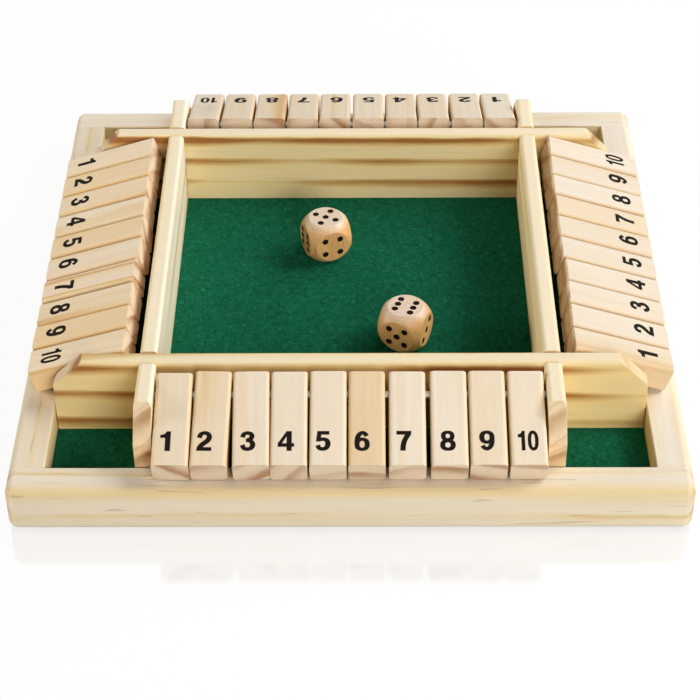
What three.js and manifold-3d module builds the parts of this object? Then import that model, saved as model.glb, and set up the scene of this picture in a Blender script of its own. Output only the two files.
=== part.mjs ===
// Shut the box game for four players. A square tray of pine rails holds a felt-covered
// floor. Four planks are lapped into a grid that walls off the square where the dice
// roll. Along each side ten tiles hang on a steel rod and rest on the rail. A tile is
// flipped up and over towards the middle.
// Millimetres, +Z up. The origin is the middle of the underside.

import * as THREE from 'three';
import { mergeVertices } from 'three/addons/utils/BufferGeometryUtils.js';
import Module from 'manifold-3d';

const wasm = await Module();
wasm.setup();

// Rails of the tray
const railWidth = 11.8;
const railHeight = 17;
const railEdgeRadius = 3;
const railCornerRadius = 3.5;
const railJointGap = 0.3;
const wellWidth = 29.11;

// Floor panel, let into a groove in each rail, and the felt on it
const panelThickness = 4;
const panelRise = 2.15;
const panelTongue = 4;
const grooveClearance = 0.3;
const feltThickness = 1;
const feltEdgeGap = 0.3;

// Planks of the grid
const plankThickness = 5.8;
const plankHeight = 28.75;
const plankEdgeRadius = 1.6;
const plankEndChamfer = 10;
const plankEndGap = 0.3;
const plankSeatGap = 0.3;
const lapClearance = 0.3;

// Tiles
const tilesPerRow = 10;
const tileWidth = 11.8;
const tileGap = 0.78;
const tileThickness = 9.5;
const tileEdgeRadius = 1.4;
const tileRailLap = 6.3;
const tileRestGap = 0.3;
const tileSwingClearance = 1.6;

// Rods
const rodRadius = 1.5;
const rodInset = 6.4;
const rodBelowPlankTop = 5.85;
const rodClearance = 0.3;
const socketDepth = 4;

// Dice
const dieSide = 16;
const dieBallRadius = 10.1;
const dieSeatGap = 0.3;
const pipRadius = 1.05;
const pipDepth = 0.4;
const pipPitch = 2.75;

// Cutters reach this far past what they cut
const overrun = 1;

// Facets
const quarterTurn = Math.PI / 2;
const cornerFacets = 3;
const bevelFacets = 4;
const plankEdgeFacets = 5;
const rodFacets = 12;
const pipFacets = 8;
const ballFacets = 24;
const ballRings = 16;

// Places across the board, worked out from the middle outwards
const bay = tilesPerRow * tileWidth + (tilesPerRow + 1) * tileGap;
const plankOffset = (bay + plankThickness) / 2;
const plankOuterFace = plankOffset + plankThickness / 2;
const innerHalf = plankOuterFace + wellWidth;
const boardSide = 2 * (innerHalf + railWidth);
const plankLength = 2 * (innerHalf - plankEndGap);

// Heights
const feltBottom = panelRise + panelThickness;
const feltTop = feltBottom + feltThickness;
const plankBottom = feltTop + plankSeatGap;
const rodHeight = plankBottom + plankHeight - rodBelowPlankTop;

// A tile turns about the rod just clear of the plank. At rest the lower edge of its
// outer end lies on the rail, and that sets its length and its slope.
const tileHalfThickness = tileThickness / 2;
const tileSwing = Math.hypot(rodInset, tileHalfThickness);
const rodOffset = plankOuterFace + tileSwing + tileSwingClearance;
const tileDrop = rodHeight - railHeight - tileRestGap;
const tileSpan = innerHalf + tileRailLap - rodOffset;
const tileReach = Math.sqrt(tileSpan ** 2 + tileDrop ** 2 - tileHalfThickness ** 2);
const tileLength = rodInset + tileReach;
const restSlope = Math.atan2(tileDrop, tileSpan) - Math.atan2(tileHalfThickness, tileReach);

// Looks of each kind of piece
const railFinish = { color: 0xe3d2b2, roughness: 0.6, metalness: 0 };
const plankFinish = { color: 0xdcc592, roughness: 0.6, metalness: 0 };
const panelFinish = { color: 0xc9ae7f, roughness: 0.7, metalness: 0 };
const feltFinish = { color: 0x12603c, roughness: 0.95, metalness: 0 };
const tileFinish = { color: 0xecd9ba, roughness: 0.6, metalness: 0 };
const rodFinish = { color: 0xb8bcc0, roughness: 0.25, metalness: 1 };
const dieFinish = { color: 0xe2c39a, roughness: 0.5, metalness: 0 };

// Solids and meshes
function toSolid(geometry) {
  const bare = geometry.clone();
  bare.deleteAttribute('normal');
  bare.deleteAttribute('uv');
  const merged = mergeVertices(bare);
  const vertProperties = merged.attributes.position.array;
  const triVerts = new Uint32Array(merged.index.array);
  return new wasm.Manifold(new wasm.Mesh({ numProp: 3, vertProperties, triVerts }));
}

function toGeometry(solid) {
  const mesh = solid.getMesh();
  const geometry = new THREE.BufferGeometry();
  geometry.setAttribute('position', new THREE.BufferAttribute(mesh.vertProperties, mesh.numProp));
  geometry.setIndex(new THREE.BufferAttribute(mesh.triVerts, 1));
  geometry.computeVertexNormals();
  return geometry;
}

function makePart(name, geometry, finish) {
  const mesh = new THREE.Mesh(geometry, new THREE.MeshStandardMaterial(finish));
  mesh.name = name;
  return mesh;
}

function box(sizeX, sizeY, sizeZ, x, y, z) {
  return new THREE.BoxGeometry(sizeX, sizeY, sizeZ).translate(x, y, z);
}

// A rectangle about the origin with round corners
function roundedRectangle(width, height, radius) {
  const x = width / 2;
  const y = height / 2;
  const shape = new THREE.Shape();
  shape.moveTo(-x + radius, -y);
  shape.lineTo(x - radius, -y);
  shape.absarc(x - radius, -y + radius, radius, -quarterTurn, 0);
  shape.absarc(x - radius, y - radius, radius, 0, quarterTurn);
  shape.absarc(-x + radius, y - radius, radius, quarterTurn, 2 * quarterTurn);
  shape.absarc(-x + radius, -y + radius, radius, 2 * quarterTurn, 3 * quarterTurn);
  return shape;
}

function extrude(shape, depth, curveSegments) {
  return new THREE.ExtrudeGeometry(shape, { depth, curveSegments, bevelEnabled: false });
}

// The tray's outer form, rounded over along its upper and lower edges
function makeTrayBlock() {
  const outline = roundedRectangle(boardSide, boardSide, railCornerRadius);
  const geometry = new THREE.ExtrudeGeometry(outline, {
    depth: railHeight - 2 * railEdgeRadius,
    curveSegments: cornerFacets,
    bevelEnabled: true,
    bevelThickness: railEdgeRadius,
    bevelSize: railEdgeRadius,
    bevelOffset: -railEdgeRadius,
    bevelSegments: bevelFacets,
  });
  return toSolid(geometry.translate(0, 0, railEdgeRadius));
}

function makePanel() {
  const side = 2 * (innerHalf + panelTongue);
  return box(side, side, panelThickness, 0, 0, panelRise + panelThickness / 2);
}

function makePanelCutter() {
  const side = 2 * (innerHalf + panelTongue + grooveClearance);
  const height = panelThickness + 2 * grooveClearance;
  return toSolid(box(side, side, height, 0, 0, panelRise + panelThickness / 2));
}

function makeFelt() {
  const side = 2 * (innerHalf - feltEdgeGap);
  return box(side, side, feltThickness, 0, 0, feltBottom + feltThickness / 2);
}

// The front and back rails run the whole width, and the other two fit between them
function makeRails() {
  const tray = makeTrayBlock().subtract(makePanelCutter());
  const middle = innerHalf + railWidth / 2;
  const width = railWidth + 2 * overrun;
  const shift = middle + overrun;
  const tall = railHeight + 2 * overrun;
  const longLength = boardSide + 2 * overrun;
  const shortLength = 2 * (innerHalf - railJointGap);
  const blocks = {
    front_rail: box(longLength, width, tall, 0, -shift, railHeight / 2),
    back_rail: box(longLength, width, tall, 0, shift, railHeight / 2),
    left_rail: box(width, shortLength, tall, -shift, 0, railHeight / 2),
    right_rail: box(width, shortLength, tall, shift, 0, railHeight / 2),
  };
  return Object.entries(blocks).map(([name, block]) => (
    makePart(name, toGeometry(tray.intersect(toSolid(block))), railFinish)
  ));
}

// A plank along X over the origin, its inner face towards +Y and its upper edges rounded
function makePlankBlank() {
  const half = plankThickness / 2;
  const edgeY = half - plankEdgeRadius;
  const edgeZ = plankHeight - plankEdgeRadius;
  const section = new THREE.Shape();
  section.moveTo(-half, 0);
  section.lineTo(half, 0);
  section.lineTo(half, edgeZ);
  section.absarc(edgeY, edgeZ, plankEdgeRadius, 0, quarterTurn);
  section.absarc(-edgeY, edgeZ, plankEdgeRadius, quarterTurn, 2 * quarterTurn);
  const bar = extrude(section, plankLength, plankEdgeFacets);
  bar.translate(0, 0, -plankLength / 2).rotateX(quarterTurn).rotateZ(quarterTurn);
  return toSolid(bar).intersect(toSolid(makePlankSilhouette()));
}

// The plank seen from its side, with both upper corners cut off
function makePlankSilhouette() {
  const end = plankLength / 2;
  const outline = new THREE.Shape();
  outline.moveTo(-end, 0);
  outline.lineTo(end, 0);
  outline.lineTo(end, plankHeight - plankEndChamfer);
  outline.lineTo(end - plankEndChamfer, plankHeight);
  outline.lineTo(-end + plankEndChamfer, plankHeight);
  outline.lineTo(-end, plankHeight - plankEndChamfer);
  const depth = plankThickness + 2 * overrun;
  return extrude(outline, depth, 1).translate(0, 0, -depth / 2).rotateX(quarterTurn);
}

// A slot for a crossing plank, from below or from above
function makeLapCutter(x, fromAbove) {
  const width = plankThickness + 2 * lapClearance;
  const depth = plankHeight / 2 + lapClearance / 2 + overrun;
  const z = fromAbove ? plankHeight + overrun - depth / 2 : depth / 2 - overrun;
  return toSolid(box(width, plankThickness + 2 * overrun, depth, x, 0, z));
}

// A blind hole in the inner face for the end of a rod
function makeSocketCutter(x) {
  const radius = rodRadius + rodClearance;
  const length = socketDepth + overrun;
  const cutter = new THREE.CylinderGeometry(radius, radius, length, rodFacets);
  const y = plankThickness / 2 - socketDepth + length / 2;
  return toSolid(cutter.translate(x, y, plankHeight - rodBelowPlankTop));
}

function makePlank(lappedFromAbove) {
  let plank = makePlankBlank();
  for (const hand of [-1, 1]) {
    plank = plank.subtract(makeLapCutter(hand * plankOffset, lappedFromAbove));
    plank = plank.subtract(makeSocketCutter(hand * rodOffset));
  }
  return toGeometry(plank);
}

// A rod along X, its ends just short of the bottoms of its two sockets
function makeRod() {
  const length = bay + 2 * (socketDepth - rodClearance);
  return new THREE.CylinderGeometry(rodRadius, rodRadius, length, rodFacets).rotateZ(quarterTurn);
}

// A tile about its rod's axis, its outer end towards -Y and its numbered face up
function makeTile() {
  const section = roundedRectangle(tileWidth, tileThickness, tileEdgeRadius);
  const block = extrude(section, tileLength, cornerFacets);
  block.rotateX(quarterTurn).translate(0, rodInset, 0);
  const radius = rodRadius + rodClearance;
  const drill = new THREE.CylinderGeometry(radius, radius, tileWidth + 2 * overrun, rodFacets);
  return toGeometry(toSolid(block).subtract(toSolid(drill.rotateZ(quarterTurn))));
}

// Opposite faces of a die add up to this
const oppositeSum = 7;

// Pips on each face, in steps of the pip pitch from the face's centre
const pipShares = {
  1: [[0, 0]],
  2: [[-1, -1], [1, 1]],
  3: [[-1, -1], [0, 0], [1, 1]],
  4: [[-1, -1], [-1, 1], [1, -1], [1, 1]],
  5: [[-1, -1], [-1, 1], [0, 0], [1, -1], [1, 1]],
  6: [[-1, -1], [-1, 0], [-1, 1], [1, -1], [1, 0], [1, 1]],
};

const xAxis = new THREE.Vector3(1, 0, 0);
const yAxis = new THREE.Vector3(0, 1, 0);
const zAxis = new THREE.Vector3(0, 0, 1);

function makePipCutter(normal, across, up, [shareAcross, shareUp]) {
  const cutter = new THREE.CylinderGeometry(pipRadius, pipRadius, 2 * pipDepth, pipFacets);
  cutter.applyQuaternion(new THREE.Quaternion().setFromUnitVectors(yAxis, normal));
  const place = normal.clone().multiplyScalar(dieSide / 2);
  place.addScaledVector(across, shareAcross * pipPitch);
  place.addScaledVector(up, shareUp * pipPitch);
  return toSolid(cutter.translate(place.x, place.y, place.z));
}

// A cube turned down by a ball, given its upper, front and right faces
function makeDie(top, front, right) {
  const ball = new THREE.SphereGeometry(dieBallRadius, ballFacets, ballRings);
  let die = toSolid(box(dieSide, dieSide, dieSide, 0, 0, 0)).intersect(toSolid(ball));
  const faces = [
    [top, zAxis, xAxis, yAxis],
    [front, yAxis.clone().negate(), xAxis, zAxis],
    [right, xAxis, yAxis, zAxis],
  ];
  for (const [value, normal, across, up] of faces) {
    for (const shares of pipShares[value]) {
      die = die.subtract(makePipCutter(normal, across, up, shares));
    }
    for (const shares of pipShares[oppositeSum - value]) {
      die = die.subtract(makePipCutter(normal.clone().negate(), across, up, shares));
    }
  }
  return toGeometry(die);
}

// Where the dice lie, as shares of the bay, and how they are turned
const diceShares = [
  { name: 'back_die', xShare: -0.075, yShare: 0.226, turn: 19.7, top: 5, front: 4, right: 1 },
  { name: 'front_die', xShare: 0.15, yShare: -0.187, turn: -23.2, top: 6, front: 5, right: 3 },
];

function makeDice() {
  return diceShares.map(({ name, xShare, yShare, turn, top, front, right }) => {
    const die = makePart(name, makeDie(top, front, right), dieFinish);
    die.position.set(xShare * bay, yShare * bay, feltTop + dieSeatGap + dieSide / 2);
    die.rotation.z = THREE.MathUtils.degToRad(turn);
    return die;
  });
}

// One side of the game as the front side: its plank, its rod and its row of tiles
function makeSide(name, lappedFromAbove) {
  const side = new THREE.Group();
  const plank = makePart(`${name}_plank`, makePlank(lappedFromAbove), plankFinish);
  plank.position.set(0, -plankOffset, plankBottom);
  const rod = makePart(`${name}_rod`, makeRod(), rodFinish);
  rod.position.set(0, -rodOffset, rodHeight);
  side.add(plank, rod);
  const tile = makeTile();
  for (let number = 1; number <= tilesPerRow; number += 1) {
    const mesh = makePart(`${name}_tile_${number}`, tile, tileFinish);
    const x = (number - (tilesPerRow + 1) / 2) * (tileWidth + tileGap);
    mesh.position.set(x, -rodOffset, rodHeight);
    mesh.rotation.x = restSlope;
    side.add(mesh);
  }
  return side;
}

const game = new THREE.Group();
game.add(makePart('base_panel', makePanel(), panelFinish));
game.add(makePart('felt_lining', makeFelt(), feltFinish));
game.add(...makeRails());
['front', 'right', 'back', 'left'].forEach((name, turns) => {
  const side = makeSide(name, name === 'left' || name === 'right');
  side.rotation.z = turns * quarterTurn;
  game.add(side);
});
game.add(...makeDice());

export default game;
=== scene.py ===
import math
import random

import bmesh
import bpy
import numpy as np
from mathutils import Matrix, Vector, noise
from mathutils.geometry import delaunay_2d_cdt


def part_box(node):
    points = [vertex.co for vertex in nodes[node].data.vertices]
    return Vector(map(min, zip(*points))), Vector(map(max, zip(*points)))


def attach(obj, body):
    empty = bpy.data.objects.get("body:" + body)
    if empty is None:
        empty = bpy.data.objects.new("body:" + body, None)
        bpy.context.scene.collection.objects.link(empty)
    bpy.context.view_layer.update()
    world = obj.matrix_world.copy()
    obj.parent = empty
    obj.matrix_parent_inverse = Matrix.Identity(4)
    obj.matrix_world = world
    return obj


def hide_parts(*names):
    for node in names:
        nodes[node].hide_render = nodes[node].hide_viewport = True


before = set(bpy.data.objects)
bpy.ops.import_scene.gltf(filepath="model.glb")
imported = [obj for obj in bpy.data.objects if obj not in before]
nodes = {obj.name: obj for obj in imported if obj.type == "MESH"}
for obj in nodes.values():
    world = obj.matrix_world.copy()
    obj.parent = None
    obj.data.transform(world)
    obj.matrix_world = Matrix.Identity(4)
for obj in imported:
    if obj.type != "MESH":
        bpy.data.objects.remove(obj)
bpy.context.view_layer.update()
quarterTurn = math.pi / 2

# Shut the box game for four players. Lengths are in metres. Each piece is worked out
# from the box of the node that it stands for.

camera = {
    "place": (0.004668, -0.562176, 0.454383),
    "pitch": 39.94,
    "yaw": -0.516,
    "roll": -0.441,
    "lens": 102.1,
    "sensor": 36,
    "shiftX": -0.001,
}


def newObject(name, data):
    made = bpy.data.objects.new(name, data)
    bpy.context.scene.collection.objects.link(made)
    return made


def makeCamera(c):
    pitch, yaw, roll = (math.radians(c[k]) for k in ("pitch", "yaw", "roll"))
    level = math.cos(pitch)
    ahead = Vector((math.sin(yaw) * level, math.cos(yaw) * level, -math.sin(pitch)))
    right = ahead.cross(Vector((0, 0, 1))).normalized()
    up = right.cross(ahead)
    across = right * math.cos(roll) + up * math.sin(roll)
    upright = up * math.cos(roll) - right * math.sin(roll)
    data = bpy.data.cameras.new("photo_camera")
    data.lens = c["lens"]
    data.sensor_width = c["sensor"]
    data.shift_x = c["shiftX"]
    made = newObject("photo_camera", data)
    turn = Matrix((across, upright, -ahead)).transposed().to_4x4()
    made.matrix_world = Matrix.Translation(c["place"]) @ turn
    bpy.context.scene.camera = made


makeCamera(camera)
print("camera set")

# What the frame says of the tray, the planks, the rods and the tiles
railLow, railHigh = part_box("front_rail")
plankLow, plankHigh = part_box("front_plank")
rodLow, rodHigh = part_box("front_rod")
panelLow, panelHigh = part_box("base_panel")
feltLow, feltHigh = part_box("felt_lining")
boardHalf = railHigh.x
railTop = railHigh.z
innerHalf = boardHalf - (railHigh.y - railLow.y)
plankOffset = -(plankLow.y + plankHigh.y) / 2
plankThickness = plankHigh.y - plankLow.y
rodOffset = -(rodLow.y + rodHigh.y) / 2
rodHeight = (rodLow.z + rodHigh.z) / 2
sides = ("front", "right", "back", "left")


def readTile(node):
    # the upper face runs from the highest point to the outermost one
    points = [v.co for v in nodes[node].data.vertices]
    inner = max(points, key=lambda p: p.z)
    outer = min(points, key=lambda p: p.y)
    slope = math.atan2(inner.z - outer.z, inner.y - outer.y)
    rise = Vector((0, inner.y + rodOffset, inner.z - rodHeight))
    corner = Matrix.Rotation(-slope, 3, "X") @ rise
    low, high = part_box(node)
    return {
        "slope": slope,
        "length": math.hypot(inner.z - outer.z, inner.y - outer.y),
        "inset": corner.y,
        "half": corner.z,
        "width": high.x - low.x,
    }


tileSize = readTile("front_tile_5")
dieLow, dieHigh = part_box("front_die")
dieHalf = (dieHigh.z - dieLow.z) / 2
print("frame read", {k: round(v, 5) for k, v in tileSize.items()})


# Shader nodes, added to the tree that is being made
shading = {}


def startTree(owner):
    owner.use_nodes = True
    shading["tree"] = owner.node_tree
    return owner.node_tree.nodes


# Gives a socket a plain value, or links it
def feed(node, socket, value):
    if isinstance(value, bpy.types.NodeSocket):
        shading["tree"].links.new(value, node.inputs[socket])
    else:
        node.inputs[socket].default_value = value


def add(kind, inputs=None, **settings):
    made = shading["tree"].nodes.new("ShaderNode" + kind)
    for name, value in settings.items():
        setattr(made, name, value)
    for socket, value in (inputs or {}).items():
        feed(made, socket, value)
    return made


def maths(operation, a, b=0.5, c=0.0, clamp=False):
    return add("Math", {0: a, 1: b, 2: c}, operation=operation, use_clamp=clamp).outputs[0]


def times(a, b, clamp=False):
    return maths("MULTIPLY", a, b, clamp=clamp)


# Moves a value up where a noise is above its middle, and down where it is below
def swayed(value, sway, spread):
    return maths("MULTIPLY_ADD", maths("SUBTRACT", sway, 0.5), spread, value)


def scaled(vector, factors):
    return add("VectorMath", {0: vector, 1: factors}, operation="MULTIPLY").outputs[0]


def noiseOf(vector, scale, detail, roughness=0.5):
    inputs = {"Vector": vector, "Scale": scale, "Detail": detail, "Roughness": roughness}
    return add("TexNoise", inputs).outputs["Fac"]


# A noise drawn out along the grain, given as its scale, its share along the grain and its detail
def grainNoise(grain, kind):
    scale, along, detail = kind
    return noiseOf(scaled(grain, (along, 1, 1)), scale, detail)


def attribute(name):
    return add("Attribute", attribute_name=name).outputs["Vector"]


def mixColour(factor, a, b, blend="MIX"):
    return add("Mix", {0: factor, 6: a, 7: b}, data_type="RGBA", blend_type=blend).outputs[2]


# Lays each colour over the last by its share
def layered(colour, layers):
    for share, tint in layers:
        colour = mixColour(share, colour, tint)
    return colour


def ramp(factor, stops):
    made = add("ValToRGB", {"Fac": factor})
    row = made.color_ramp.elements
    while len(row) < len(stops):
        row.new(1)
    for element, (place, level) in zip(row, stops):
        element.position = place
        element.color = (level, level, level, 1)
    return made.outputs["Color"]


def srgb(red, green, blue):
    def linear(value):
        share = value / 255
        return share / 12.92 if share <= 0.04045 else ((share + 0.055) / 1.055) ** 2.4

    return (linear(red), linear(green), linear(blue), 1)


def newMaterial(name, sockets):
    made = bpy.data.materials.new(name)
    shader = startTree(made)["Principled BSDF"]
    for socket, value in sockets.items():
        feed(shader, socket, value)
    return made, shader


def setColour(shader, colour, lightness):
    grey = add("CombineXYZ", {0: lightness, 1: lightness, 2: lightness}).outputs[0]
    feed(shader, "Base Color", mixColour(1.0, colour, grey, "MULTIPLY"))


def setBump(shader, height, strength, distance):
    bump = add("Bump", {"Height": height, "Strength": strength, "Distance": distance})
    feed(shader, "Normal", bump.outputs[0])


# Pine. Every mesh carries, as attributes, where each point lay in the tree (grain: along
# the trunk, then the two ways across it from the pith), how the piece differs, with the light and
# shade painted on its faces (look: tone, warmth, share of end grain), and how its rings are drawn
# (figure: strength, pitch, flecks).
pine = {
    # noises: scale, share along the grain, detail
    "bend": (14, 0.35, 1),
    "ripple": (75, 0.12, 2),
    "tooth": (300, 0.22, 2),
    "patch": (45, 0.3, 1),
    "fibre": (1500, 0.03, 2),
    "streak": (420, 0.04, 2),
    "cloud": (30, 0.4, 2),
    "fleck": (1100, 0.06, 0),
    # how far the first three move a ring
    "bendBy": 0.0044,
    "rippleBy": 0.0009,
    "toothBy": 0.0011,
    # spread and least of how vivid a year is, and of the clouds
    "vivid": (0.6, 0.55),
    "clouded": (0.4, -0.1),
    "patchStops": [(0.34, 0.3), (0.64, 1)],
    "patchGain": 1.45,
    "between": 3.7,
    "fleckStops": [(0.735, 0), (0.79, 1)],
    "fleckPaint": 0.7,
    "fleckColour": srgb(150, 96, 56),
    # pale sapwood, also used as painted light on lit faces
    "sapAndPaintedLight": srgb(243, 240, 229),
    "warmShare": 0.8,
    "lateGain": 1.5,
    "endStops": [(0.35, 0), (0.8, 1)],
    "endShare": 0.9,
    # how high rings and fibres stand and how deep flecks lie, then the bump's strength and distance
    "heights": (0.4, 0.6, 0.7),
    "bump": (0.3, 0.0001),
    "roughSpread": 0.18,
}
broadRings = [(0, 0.08), (0.14, 0.02), (0.4, 0.14), (0.62, 0.55), (0.8, 1), (0.9, 0.7), (1, 0.08)]
fineRings = [(0, 0.08), (0.08, 0.02), (0.45, 0.08), (0.74, 0.4), (0.9, 1), (0.95, 0.7), (1, 0.08)]
softRings = [(0, 0.1), (0.2, 0.0), (0.5, 0.2), (0.74, 0.85), (0.86, 1), (0.94, 0.5), (1, 0.1)]


def pineMaterial(name, **look):
    sockets = {"Roughness": look["roughness"], "Specular IOR Level": look["specular"]}
    made, shader = newMaterial(name, sockets)
    grain = attribute("grain")
    # tone and warmth carry painted light and shade as well as the wood's own colour
    tone, warmth, endGrain = add("SeparateXYZ", {0: attribute("look")}).outputs
    strength, pitch, flecks = add("SeparateXYZ", {0: attribute("figure")}).outputs

    # distance from the pith, bent slowly, then moved ever more finely
    acrossOnly = scaled(grain, (0, 1, 1))
    radius = add("VectorMath", {0: acrossOnly}, operation="LENGTH").outputs["Value"]
    for kind in ("bend", "ripple", "tooth"):
        radius = swayed(radius, grainNoise(grain, pine[kind]), pine[kind + "By"])
    years = maths("DIVIDE", radius, pitch)
    season = maths("FRACT", years)
    year = maths("FLOOR", years)
    yearly = add("TexWhiteNoise", {"W": year}, noise_dimensions="1D").outputs["Value"]
    vividness = maths("MULTIPLY_ADD", yearly, *pine["vivid"])
    patchy = ramp(grainNoise(grain, pine["patch"]), pine["patchStops"])
    vividness = times(vividness, times(patchy, pine["patchGain"]))
    ring = times(ramp(season, look["rings"]), vividness)
    between = maths("FRACT", times(years, pine["between"]))
    fine = times(ramp(between, softRings), look["betweenStrength"])
    lateness = times(maths("MAXIMUM", ring, fine), strength, clamp=True)
    endRing = times(ramp(season, softRings), vividness)
    endRing = maths("MAXIMUM", endRing, times(fine, look["endFine"]))
    endLateness = times(endRing, look["endStrength"], clamp=True)

    fibre, streak, cloud, fleck = (grainNoise(grain, pine[kind])
                                   for kind in ("fibre", "streak", "cloud", "fleck"))
    fleckShare = times(ramp(fleck, pine["fleckStops"]), flecks, clamp=True)
    late = pine["lateGain"]
    colour = layered(look["pale"], [
        (times(warmth, pine["warmShare"], True), look["warm"]),
        # below zero, warmth turns to the pale sap colour, which also paints light on lit faces
        (times(warmth, -1, True), pine["sapAndPaintedLight"]),
        (maths("MULTIPLY_ADD", cloud, *pine["clouded"], True), look["warm"]),
        (times(lateness, late, True), look["warm"]),
        (maths("MULTIPLY_ADD", lateness, late, 1 - late, True), look["late"]),
        (times(fleckShare, pine["fleckPaint"]), pine["fleckColour"])])
    endColour = mixColour(endLateness, look["end"], look["endLate"])
    endShare = ramp(endGrain, pine["endStops"])
    colour = mixColour(times(endShare, pine["endShare"]), colour, endColour)
    lightness = swayed(swayed(1, fibre, look["fibre"]), streak, look["streak"])
    setColour(shader, colour, maths("ADD", lightness, tone))

    ringHigh, fibreHigh, fleckDeep = pine["heights"]
    height = maths("MULTIPLY_ADD", lateness, ringHigh, times(fibre, fibreHigh))
    height = maths("SUBTRACT", height, times(fleckShare, fleckDeep))
    setBump(shader, height, *pine["bump"])
    feed(shader, "Roughness", swayed(look["roughness"], fibre, pine["roughSpread"]))
    return made


railPine = pineMaterial(
    "rail_pine", pale=srgb(244, 234, 219), late=srgb(202, 160, 96), warm=srgb(238, 212, 156),
    end=srgb(228, 204, 168), endLate=srgb(196, 154, 104), endStrength=0.6,
    betweenStrength=0.2, endFine=0.5, roughness=0.55, specular=0.25, fibre=0.08,
    streak=0.08, rings=broadRings)
plankPine = pineMaterial(
    "plank_pine", pale=srgb(245, 231, 203), late=srgb(168, 110, 54), warm=srgb(243, 213, 142),
    end=srgb(236, 206, 160), endLate=srgb(160, 104, 56), endStrength=1.1,
    betweenStrength=0.16, endFine=2.0, roughness=0.5, specular=0.3, fibre=0.1,
    streak=0.1, rings=broadRings)
tilePine = pineMaterial(
    "tile_pine", pale=srgb(242, 229, 210), late=srgb(206, 158, 104), warm=srgb(234, 200, 146),
    end=srgb(232, 210, 181), endLate=srgb(176, 130, 92), endStrength=0.85,
    betweenStrength=0.45, endFine=0.15, roughness=0.55, specular=0.25, fibre=0.09,
    streak=0.11, rings=fineRings)
print("pine made")

dieFinish = {
    "fibre": (1500, 0.06, 3),
    "cloud": (220, 0.4, 2),
    "speck": (1300, 0.12, 0),
    "speckStops": [(0.64, 0), (0.74, 1)],
    "speckShare": 0.35,
    "speckColour": srgb(180, 122, 78),
    # painted light and shade: pale top colours as lit, orange side colours as shaded, blended by height
    "paintedLitTopStops": [(0.7, 0), (0.99, 1)],
    "side": (srgb(240, 194, 130), srgb(220, 158, 96)),
    "top": (srgb(238, 217, 192), srgb(226, 197, 168)),
    "fibreSpread": 0.2,
    "bump": (0.2, 0.0001),
    "sockets": {"Roughness": 0.42, "Specular IOR Level": 0.4, "Coat Weight": 0.3, "Coat Roughness": 0.4},
}


# The top and bottom, where the grain ends lie, are painted pale as a lit top, and the sides are painted
# orange as shade
def dieMaterial(f):
    made, shader = newMaterial("die_wood", f["sockets"])
    place = attribute("grain")
    fibre, cloud, speck = (grainNoise(place, f[kind]) for kind in ("fibre", "cloud", "speck"))
    along = add("SeparateXYZ", {0: place}).outputs[0]
    # painted light and shade: pale near the top and bottom faces, orange round the sides
    height = times(maths("ABSOLUTE", along), 1 / dieHalf)
    side, top = (mixColour(cloud, *f[part]) for part in ("side", "top"))
    colour = mixColour(ramp(height, f["paintedLitTopStops"]), side, top)
    speckShare = times(ramp(speck, f["speckStops"]), f["speckShare"])
    colour = mixColour(speckShare, colour, f["speckColour"])
    setColour(shader, colour, swayed(1, fibre, f["fibreSpread"]))
    setBump(shader, fibre, *f["bump"])
    return made


feltFinish = {
    "wanderScale": 260,
    "wander": 0.004,
    # noises: scale, detail, roughness
    "cloud": (60, 4, 0.65),
    "clump": (420, 3, 0.65),
    "hair": (1500, 3, 0.7),
    "lint": (900, 1, 0.6),
    "hairShare": 0.35,
    "evenStops": [(0.3, 0), (0.7, 1)],
    "strandStops": [(0.5, 0), (0.78, 0.7)],
    "lintStops": [(0.6, 0), (0.8, 1)],
    "deep": srgb(6, 68, 45),
    "bright": srgb(20, 110, 79),
    "cloudShare": 0.55,
    "cloudColour": srgb(10, 84, 57),
    "strandColour": srgb(34, 128, 96),
    "lintShare": 0.4,
    "lintColour": srgb(74, 158, 126),
    "bump": (0.7, 0.0004),
    "sockets": {"Roughness": 0.95, "Specular IOR Level": 0.04, "Sheen Weight": 0.06,
                "Sheen Roughness": 0.5, "Sheen Tint": srgb(120, 190, 150)},
}


def feltMaterial(f):
    made, shader = newMaterial("green_felt", f["sockets"])
    place = add("TexCoord").outputs["Object"]
    wanderInputs = {"Vector": place, "Scale": f["wanderScale"], "Detail": 2}
    wander = add("TexNoise", wanderInputs).outputs["Color"]
    moved = {0: wander, 1: (f["wander"],) * 3, 2: place}
    swirled = add("VectorMath", moved, operation="MULTIPLY_ADD").outputs[0]
    cloud = ramp(noiseOf(place, *f["cloud"]), f["evenStops"])
    clump = noiseOf(swirled, *f["clump"])
    hair = noiseOf(scaled(swirled, (1, f["hairShare"], 1)), *f["hair"])
    crossHair = noiseOf(scaled(swirled, (f["hairShare"], 1, 1)), *f["hair"])
    strands = maths("MAXIMUM", hair, crossHair)
    lint = ramp(noiseOf(swirled, *f["lint"]), f["lintStops"])
    feed(shader, "Base Color", layered(f["deep"], [
        (ramp(clump, f["evenStops"]), f["bright"]),
        (times(cloud, f["cloudShare"]), f["cloudColour"]),
        (ramp(strands, f["strandStops"]), f["strandColour"]),
        (times(lint, f["lintShare"]), f["lintColour"])]))
    setBump(shader, maths("ADD", strands, clump), *f["bump"])
    return made


steelFinish = {
    "drawn": (3000, 0.02, 2),
    "colours": (srgb(206, 203, 198), srgb(158, 155, 150)),
    "rough": (0.2, 0.26),
    "sockets": {"Roughness": 0.42, "Specular IOR Level": 0.5, "Metallic": 1},
}


def steelMaterial(f):
    made, shader = newMaterial("rod_steel", f["sockets"])
    drawn = grainNoise(attribute("grain"), f["drawn"])
    feed(shader, "Base Color", mixColour(drawn, *f["colours"]))
    feed(shader, "Roughness", maths("MULTIPLY_ADD", drawn, *f["rough"]))
    return made


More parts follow.
